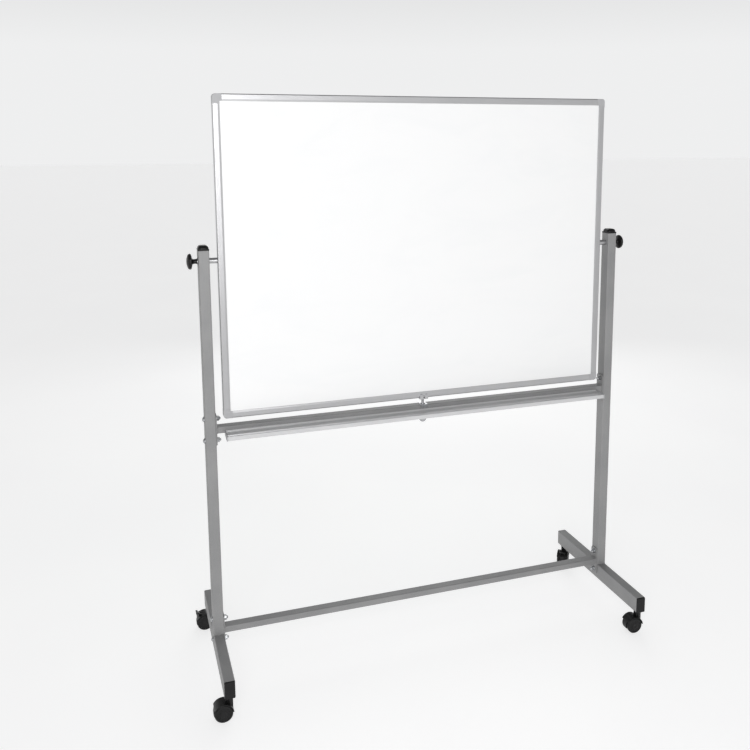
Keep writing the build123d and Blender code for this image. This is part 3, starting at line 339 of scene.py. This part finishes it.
def make_aluminium():
    """Satin rails, one finish for each direction they run in, and the mill-finished tray; the upright
    rails' colour is painted a touch darker than the level rails', as painted shade.
    """
    return {
        "rail_x": brushed_metal("satin_rail_x", (0.49, 0.49, 0.498), along="x"),
        # Same metal as the level rails: the upright rails' lower base colour is painted shade, not a
        # real difference in the aluminium.
        "rail_z": brushed_metal("satin_rail_z", (0.47, 0.47, 0.478), along="z"),
        "tray_aluminium": brushed_metal(
            "mill_tray", (0.64, 0.64, 0.645), along="x", grain=0.04 * MM, metallic=0.45
        ),
    }


def make_enamels():
    """Glossy white and matt green writing faces."""
    return {
        "white_enamel": writing_enamel(
            "white_enamel",
            colour=(0.93, 0.93, 0.93),
            wiped=(0.915, 0.918, 0.92),
            roughness=(0.10, 0.20),
            coat=0.6,
            specular=0.5,
        ),
        "green_enamel": writing_enamel(
            "green_enamel",
            colour=(0.0020, 0.165, 0.040),
            wiped=(0.0045, 0.172, 0.045),
            roughness=(0.40, 0.52),
            coat=0.0,
            specular=0.16,
        ),
    }


def make_plastics():
    """Near-black fittings, soft black wheels, grey board corners and natural nylon."""
    return {
        "black_plastic": moulded_plastic(
            "black_plastic", (0.0060, 0.0060, 0.0064), (0.26, 0.42), grain=0.03 * MM, specular=0.26
        ),
        "wheel_plastic": moulded_plastic(
            "wheel_plastic", (0.0075, 0.0075, 0.0078), (0.34, 0.50), grain=0.05 * MM, specular=0.24
        ),
        "grey_corner_plastic": moulded_plastic(
            "grey_corner", (0.42, 0.42, 0.43), (0.38, 0.50), grain=0.03 * MM, streak=1.04
        ),
        "nylon": moulded_plastic(
            "nylon", (0.62, 0.60, 0.55), (0.40, 0.55), grain=0.03 * MM, streak=1.04
        ),
    }


def make_metals():
    """Plated hardware, bright turned steel, brass inserts and dark spring wire."""
    return {
        "zinc_hardware": plated_steel(
            "zinc_plate", (0.47, 0.475, 0.48), (0.38, 0.39, 0.41), roughness=(0.22, 0.38)
        ),
        "bright_steel": plated_steel(
            "bright_steel", (0.50, 0.50, 0.51), (0.43, 0.43, 0.445), roughness=(0.14, 0.26)
        ),
        "brass": plated_steel("brass", (0.70, 0.50, 0.22), (0.62, 0.42, 0.17), roughness=(0.2, 0.34)),
        "spring_steel": plated_steel(
            "spring_steel", (0.32, 0.31, 0.30), (0.24, 0.23, 0.23), roughness=(0.25, 0.4)
        ),
    }


def make_finishes():
    """One finish for each material slot of the record; extrusions have one for each direction, and the
    upright rails' finish also carries painted shade.
    """
    finishes = {"grey_paint": grey_powder_coat(), "honeycomb_core": kraft_core()}
    for group in (make_aluminium(), make_enamels(), make_plastics(), make_metals()):
        finishes.update(group)
    return finishes


def dress_frame(finishes):
    """Gives every CAD node the finish of its slot."""
    for name, node in frame["nodes"].items():
        slot = node.data.materials[0].name.split(".")[0]
        if slot == "anodised_aluminium":
            slot = "rail_z" if name in ("rail_left", "rail_right") else "rail_x"
        for i in range(len(node.material_slots)):
            node.material_slots[i].material = finishes[slot]


# ---- Mesh helpers -------------------------------------------------------------------------------


def mesh_object(name, bm, finish, smooth_angle=35.0):
    """Turns a bmesh into a linked object with one finish and shading smooth up to an angle."""
    bmesh.ops.recalc_face_normals(bm, faces=bm.faces)
    mesh = bpy.data.meshes.new(name)
    bm.to_mesh(mesh)
    bm.free()
    mesh.materials.append(finish)
    mesh.shade_smooth()
    mesh.set_sharp_from_angle(angle=math.radians(smooth_angle))
    made = bpy.data.objects.new(name, mesh)
    bpy.context.scene.collection.objects.link(made)
    return made


def axis_frame(origin, axis):
    """Matrix whose Z runs along an axis from an origin."""
    z = Vector(axis).normalized()
    x = z.orthogonal().normalized()
    y = z.cross(x)
    turn = Matrix((x, y, z)).transposed().to_4x4()
    return Matrix.Translation(Vector(origin)) @ turn


def lathe(bm, profile, place, steps, radius_at=None):
    """Body of revolution from (radius, height) points about local Z, closed on the axis."""
    rings = []
    for radius, height in profile:
        if radius < TOUCH / 10:
            rings.append([bm.verts.new(place @ Vector((0, 0, height)))])
            continue
        ring = []
        for i in range(steps):
            angle = 2 * math.pi * i / steps
            r = radius_at(radius, angle) if radius_at else radius
            point = Vector((r * math.cos(angle), r * math.sin(angle), height))
            ring.append(bm.verts.new(place @ point))
        rings.append(ring)
    for low, high in zip(rings, rings[1:]):
        for i in range(steps):
            k = (i + 1) % steps
            corners = [
                low[i % len(low)],
                low[k % len(low)],
                high[k % len(high)],
                high[i % len(high)],
            ]
            unique = list(dict.fromkeys(corners))
            if len(unique) > 2:
                bm.faces.new(unique)


def lathe_end(bm, place, radius, height):
    """Face that closes a lathed body at its first ring."""
    inverse = place.inverted()
    ring = []
    for vert in bm.verts:
        local = inverse @ vert.co
        if abs(local.z - height) < TOUCH and abs(local.xy.length - radius) < TOUCH:
            ring.append((math.atan2(local.y, local.x), vert))
    ring.sort(key=lambda pair: pair[0])
    bm.faces.new([vert for _, vert in ring])


def prism(bm, outline, half_width, place):
    """Closed prism: an outline of (radius, height) points in local XZ, thickened along local Y."""
    sides = []
    for y in (-half_width, half_width):
        sides.append([bm.verts.new(place @ Vector((x, y, z))) for x, z in outline])
    bm.faces.new(sides[0])
    bm.faces.new(reversed(sides[1]))
    for i in range(len(outline)):
        k = (i + 1) % len(outline)
        bm.faces.new((sides[0][i], sides[0][k], sides[1][k], sides[1][i]))


def join_rings(bm, rings, closed):
    """Quads between neighbouring rings of vertices, and from the last to the first if closed."""
    following = rings[1:] + rings[:1] if closed else rings[1:]
    for ring, after in zip(rings, following):
        for i in range(len(ring)):
            k = (i + 1) % len(ring)
            bm.faces.new((ring[i], ring[k], after[k], after[i]))


def rounded_profile(corners, radius, steps):
    """Polyline through corners with each inner corner replaced by a short curve."""
    points = [corners[0]]
    for before, corner, after in zip(corners, corners[1:], corners[2:]):
        here, back, ahead = Vector(corner), Vector(before), Vector(after)
        cut = min(radius, 0.45 * (back - here).length, 0.45 * (ahead - here).length)
        start = here + (back - here).normalized() * cut
        end = here + (ahead - here).normalized() * cut
        for i in range(steps + 1):
            t = i / steps
            points.append(tuple(start * (1 - t) ** 2 + here * 2 * t * (1 - t) + end * t**2))
    points.append(corners[-1])
    return points


def section_points(rows, radius, low, high):
    """(radius, height) points of a section's rows, for a piece that runs from low to high."""
    return [
        (share * radius + wider * MM, low + along * (high - low) + further * MM)
        for share, wider, along, further in rows
    ]


def extent_along(node, origin, axis):
    """Lowest and highest reach of a CAD node along an axis through an origin."""
    reach = [(v.co - Vector(origin)).dot(axis) for v in frame["nodes"][node].data.vertices]
    return min(reach), max(reach)


# ---- Detailed pieces ----------------------------------------------------------------------------


def make_wheel(joint, finish):
    """Twin-caster wheel: crowned tread with two fine grooves, stepped rim, ribbed hub cover."""
    body = joint["child"]
    node = f"caster_{body}"
    axis = Vector(joint["axis"]).normalized()
    low, high = extent_along(node, joint["pos_m"], axis)
    if low + high < 0:
        axis = -axis
        low, high = -high, -low
    place = axis_frame(joint["pos_m"], axis)
    radius = joint["pos_m"][2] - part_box(node)[0].z
    tread = rounded_profile(section_points(WHEEL_SECTION, radius, low, high), WHEEL_ROUND, steps=3)
    bm = bmesh.new()
    lathe(bm, tread, place, WHEEL_STEPS)
    lathe_end(bm, place, WHEEL_BORE * MM, low)
    rib = section_points(WHEEL_RIB, radius, low, high)
    for i in range(WHEEL_RIB_COUNT):
        spin = Matrix.Rotation(2 * math.pi * i / WHEEL_RIB_COUNT, 4, "Z")
        prism(bm, rib, WHEEL_RIB_HALF_WIDTH, place @ spin)
    wheel = mesh_object(f"{node}_detail", bm, finish, smooth_angle=40.0)
    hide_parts(node)
    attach(wheel, body)


def make_knob(side, finish):
    """Clamping knob: waisted neck, undercut skirt, finely fluted rim and a ringed dome."""
    node = f"clamp_knob_{side}"
    joint = next(j for j in frame["joints"] if j["child"] == f"knob_{side}")
    axis = Vector((SIDES[side], 0, 0))
    place = axis_frame(joint["pos_m"], axis)
    low, high = extent_along(node, joint["pos_m"], axis)
    node_low, node_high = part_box(node)
    rim = (node_high.z - node_low.z) / 2

    def fluted(radius, angle):
        share = max(0.0, (radius - KNOB_FLUTE_START) / (rim - KNOB_FLUTE_START))
        return radius - KNOB_FLUTE_DEPTH * share * (1.0 - math.cos(KNOB_FLUTES * angle)) / 2

    profile = rounded_profile(section_points(KNOB_SECTION, rim, low, high), KNOB_ROUND, steps=4)
    bm = bmesh.new()
    lathe(bm, profile, place, KNOB_STEPS, radius_at=fluted)
    lathe_end(bm, place, KNOB_BORE * MM, low)
    knob = mesh_object(f"{node}_detail", bm, finish, smooth_angle=40.0)
    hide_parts(node)
    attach(knob, f"knob_{side}")


def coil_rise(turn, height):
    """Height of the wire's middle after some turns of a spring with closed ends."""
    closed_rise = SPRING_CLOSED_RISE * SPRING_WIRE
    open_height = height - 2 * SPRING_WIRE - 2 * SPRING_CLOSED * closed_rise
    open_rise = open_height / (SPRING_TURNS - 2 * SPRING_CLOSED)
    closed_turns = min(turn, SPRING_CLOSED) + max(0.0, turn - SPRING_TURNS + SPRING_CLOSED)
    open_turns = max(0.0, min(turn, SPRING_TURNS - SPRING_CLOSED) - SPRING_CLOSED)
    return SPRING_WIRE + closed_rise * closed_turns + open_rise * open_turns


def make_spring(finish):
    """Compression spring with closed end coils, at the CAD spring's length and fixed to the stand; in
    the real board it shortens as the pull ball draws the latch down, which this mesh does not.
    """
    low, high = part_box("latch_spring")
    centre = (low + high) / 2
    height = high.z - low.z
    coil = (high.x - low.x) / 2 - SPRING_WIRE
    around = [2 * math.pi * k / SPRING_SIDES for k in range(SPRING_SIDES)]
    bm = bmesh.new()
    rings = []
    for i in range(SPRING_STEPS + 1):
        turn = SPRING_TURNS * i / SPRING_STEPS
        angle = 2 * math.pi * turn
        outward = Vector((math.cos(angle), math.sin(angle), 0))
        middle = Vector((centre.x, centre.y, low.z + coil_rise(turn, height))) + coil * outward
        offsets = [SPRING_WIRE * (math.cos(a) * outward + math.sin(a) * UP) for a in around]
        rings.append([bm.verts.new(middle + offset) for offset in offsets])
    join_rings(bm, rings, closed=False)
    bm.faces.new(rings[0])
    bm.faces.new(reversed(rings[-1]))
    spring = mesh_object("latch_spring_detail", bm, finish, smooth_angle=60.0)
    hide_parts("latch_spring")
    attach(spring, "stand")
    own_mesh(spring)


def weld_bead(name, corners, normal, finish):
    """Rippled fillet weld round a closed outline, slightly uneven as hand welding is."""
    rng = random.Random(name)
    normal = Vector(normal)
    corners = [Vector(c) for c in corners]
    middle = sum(corners, Vector()) / len(corners)
    points = []
    for a, b in zip(corners, corners[1:] + corners[:1]):
        count = max(2, round((b - a).length / WELD_STEP))
        points += [a.lerp(b, i / count) for i in range(count)]
    bm = bmesh.new()
    rings = []
    for i, point in enumerate(points):
        outward = point - middle
        outward -= normal * outward.dot(normal)
        outward.normalize()
        ripple = 1.0 + WELD_RIPPLE * math.cos(WELD_RIPPLE_TURN * i)
        ripple += rng.uniform(-WELD_UNEVENNESS, WELD_UNEVENNESS)
        ring = []
        for degrees, share in WELD_SECTION:
            turn = math.radians(degrees)
            reach = WELD_SIZE * ripple * share
            ring.append(point + reach * (outward * math.cos(turn) + normal * math.sin(turn)))
        rings.append([bm.verts.new(p) for p in ring])
    join_rings(bm, rings, closed=True)
    bead = mesh_object(name, bm, finish, smooth_angle=70.0)
    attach(bead, "stand")


def make_bar_welds(bar, finish):
    """Beads round both ends of a crossbar, where it meets its flange plates."""
    low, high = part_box(bar)
    outline = chamfered_rectangle(
        low.y + WELD_INSET, high.y - WELD_INSET, low.z + WELD_INSET, high.z - WELD_INSET
    )
    for side, sign in SIDES.items():
        corners = [(high.x * sign, y, z) for y, z in outline]
        weld_bead(f"weld_{bar}_{side}", corners, (-sign, 0, 0), finish)


def make_post_welds(side, finish):
    """Beads along the front and back of a post, where it stands on its foot."""
    low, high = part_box(f"post_{side}")
    left, right = low.x + POST_WELD_ENDS, high.x - POST_WELD_ENDS
    for name, y, out in (("front", low.y, -1), ("back", high.y, 1)):
        near, far = (y - out * depth for depth in POST_WELD_DEPTH)
        corners = [(left, near, low.z), (right, near, low.z), (right, far, low.z), (left, far, low.z)]
        weld_bead(f"weld_post_{side}_{name}", corners, UP, finish)


def chamfered_rectangle(low_a, high_a, low_b, high_b):
    """Rectangle outline with each corner cut, in order."""
    return [
        (low_a + WELD_CORNER, low_b),
        (high_a - WELD_CORNER, low_b),
        (high_a, low_b + WELD_CORNER),
        (high_a, high_b - WELD_CORNER),
        (high_a - WELD_CORNER, high_b),
        (low_a + WELD_CORNER, high_b),
        (low_a, high_b - WELD_CORNER),
        (low_a, low_b + WELD_CORNER),
    ]


# ---- Stage --------------------------------------------------------------------------------------


def make_camera():
    """Camera at the viewing angle of a person standing in front and to the left."""
    sin_yaw, cos_yaw = math.sin(CAMERA_YAW), math.cos(CAMERA_YAW)
    sin_pitch, cos_pitch = math.sin(CAMERA_PITCH), math.cos(CAMERA_PITCH)
    forward = Vector((sin_yaw * cos_pitch, cos_yaw * cos_pitch, -sin_pitch))
    right = Vector((cos_yaw, -sin_yaw, 0.0))
    up = right.cross(forward)
    data = bpy.data.cameras.new("camera")
    data.sensor_width = CAMERA_SENSOR
    data.lens = CAMERA_LENS
    data.shift_x, data.shift_y = CAMERA_SHIFT
    data.clip_start, data.clip_end = CAMERA_REACH
    camera = bpy.data.objects.new("camera", data)
    axes = Matrix((right, up, -forward)).transposed().to_4x4()
    roll = Matrix.Rotation(CAMERA_ROLL, 4, "Z")
    camera.matrix_world = Matrix.Translation(Vector(CAMERA_PLACE)) @ axes @ roll
    bpy.context.scene.collection.objects.link(camera)
    bpy.context.scene.camera = camera


def make_floor():
    """Plain pale floor that reaches past every view; its faint glow keeps it as pale as the sky."""
    low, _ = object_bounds()
    bm = bmesh.new()
    bmesh.ops.create_grid(bm, x_segments=2, y_segments=2, size=FLOOR_HALF_SIDE)
    bmesh.ops.translate(bm, verts=bm.verts, vec=(0, 0, low.z))
    f = Finish("floor", Roughness=0.7, Specular_IOR_Level=0.2, Emission_Strength=FLOOR_GLOW)
    f.shader.inputs["Emission Color"].default_value = (1.0, 1.0, 1.0, 1.0)
    speck = f.spread(f.noise(scale=1.2, detail=4.0), start=0.3, end=0.7)
    f.colour(f.blend(speck, (0.47, 0.47, 0.475), (0.50, 0.50, 0.50)))
    f.bump(f.noise(scale=180.0, detail=2.0), distance=0.05 * MM)
    mesh_object("floor", bm, f.material)


def area_light(name, place, size, power):
    """Square soft light aimed at the middle of the object."""
    data = bpy.data.lights.new(name, "AREA")
    data.shape = "SQUARE"
    data.size = size
    data.energy = power
    light = bpy.data.objects.new(name, data)
    light.location = place
    light.rotation_mode = "QUATERNION"
    light.rotation_quaternion = (Vector(place) - Vector(LIGHT_TARGET)).to_track_quat("Z", "Y")
    bpy.context.scene.collection.objects.link(light)


def make_sky():
    """Pale surroundings that darken overhead."""
    world = bpy.data.worlds.new("studio")
    bpy.context.scene.world = world
    world.use_nodes = True
    nodes, links = world.node_tree.nodes, world.node_tree.links
    height = nodes.new("ShaderNodeSeparateXYZ")
    links.new(nodes.new("ShaderNodeTexCoord").outputs["Generated"], height.inputs["Vector"])
    fade = nodes.new("ShaderNodeValToRGB")
    stops = zip(fade.color_ramp.elements, SKY_FADE, (SKY_AT_HORIZON, SKY_OVERHEAD))
    for element, position, colour in stops:
        element.position = position
        element.color = colour
    links.new(height.outputs["Z"], fade.inputs["Fac"])
    links.new(fade.outputs["Color"], nodes["Background"].inputs["Color"])


def make_light():
    """Soft studio: the sky, a key from the front left and a weaker back light."""
    make_sky()
    area_light("key", place=(-1.05, -2.9, 1.7), size=1.8, power=41.0)
    area_light("back", place=(1.2, 3.4, 1.9), size=2.4, power=30.0)
    bpy.context.scene.view_settings.view_transform = "Standard"


# ---- Build --------------------------------------------------------------------------------------

make_camera()
make_light()
make_floor()
finishes = make_finishes()
dress_frame(finishes)
for joint in frame["joints"]:
    if joint["name"].endswith("_roll"):
        make_wheel(joint, finishes["wheel_plastic"])
for side in SIDES:
    make_knob(side, finishes["black_plastic"])
make_spring(finishes["spring_steel"])
for bar in ("upper_crossbar", "lower_crossbar"):
    make_bar_welds(bar, finishes["grey_paint"])
for side in SIDES:
    make_post_welds(side, finishes["grey_paint"])
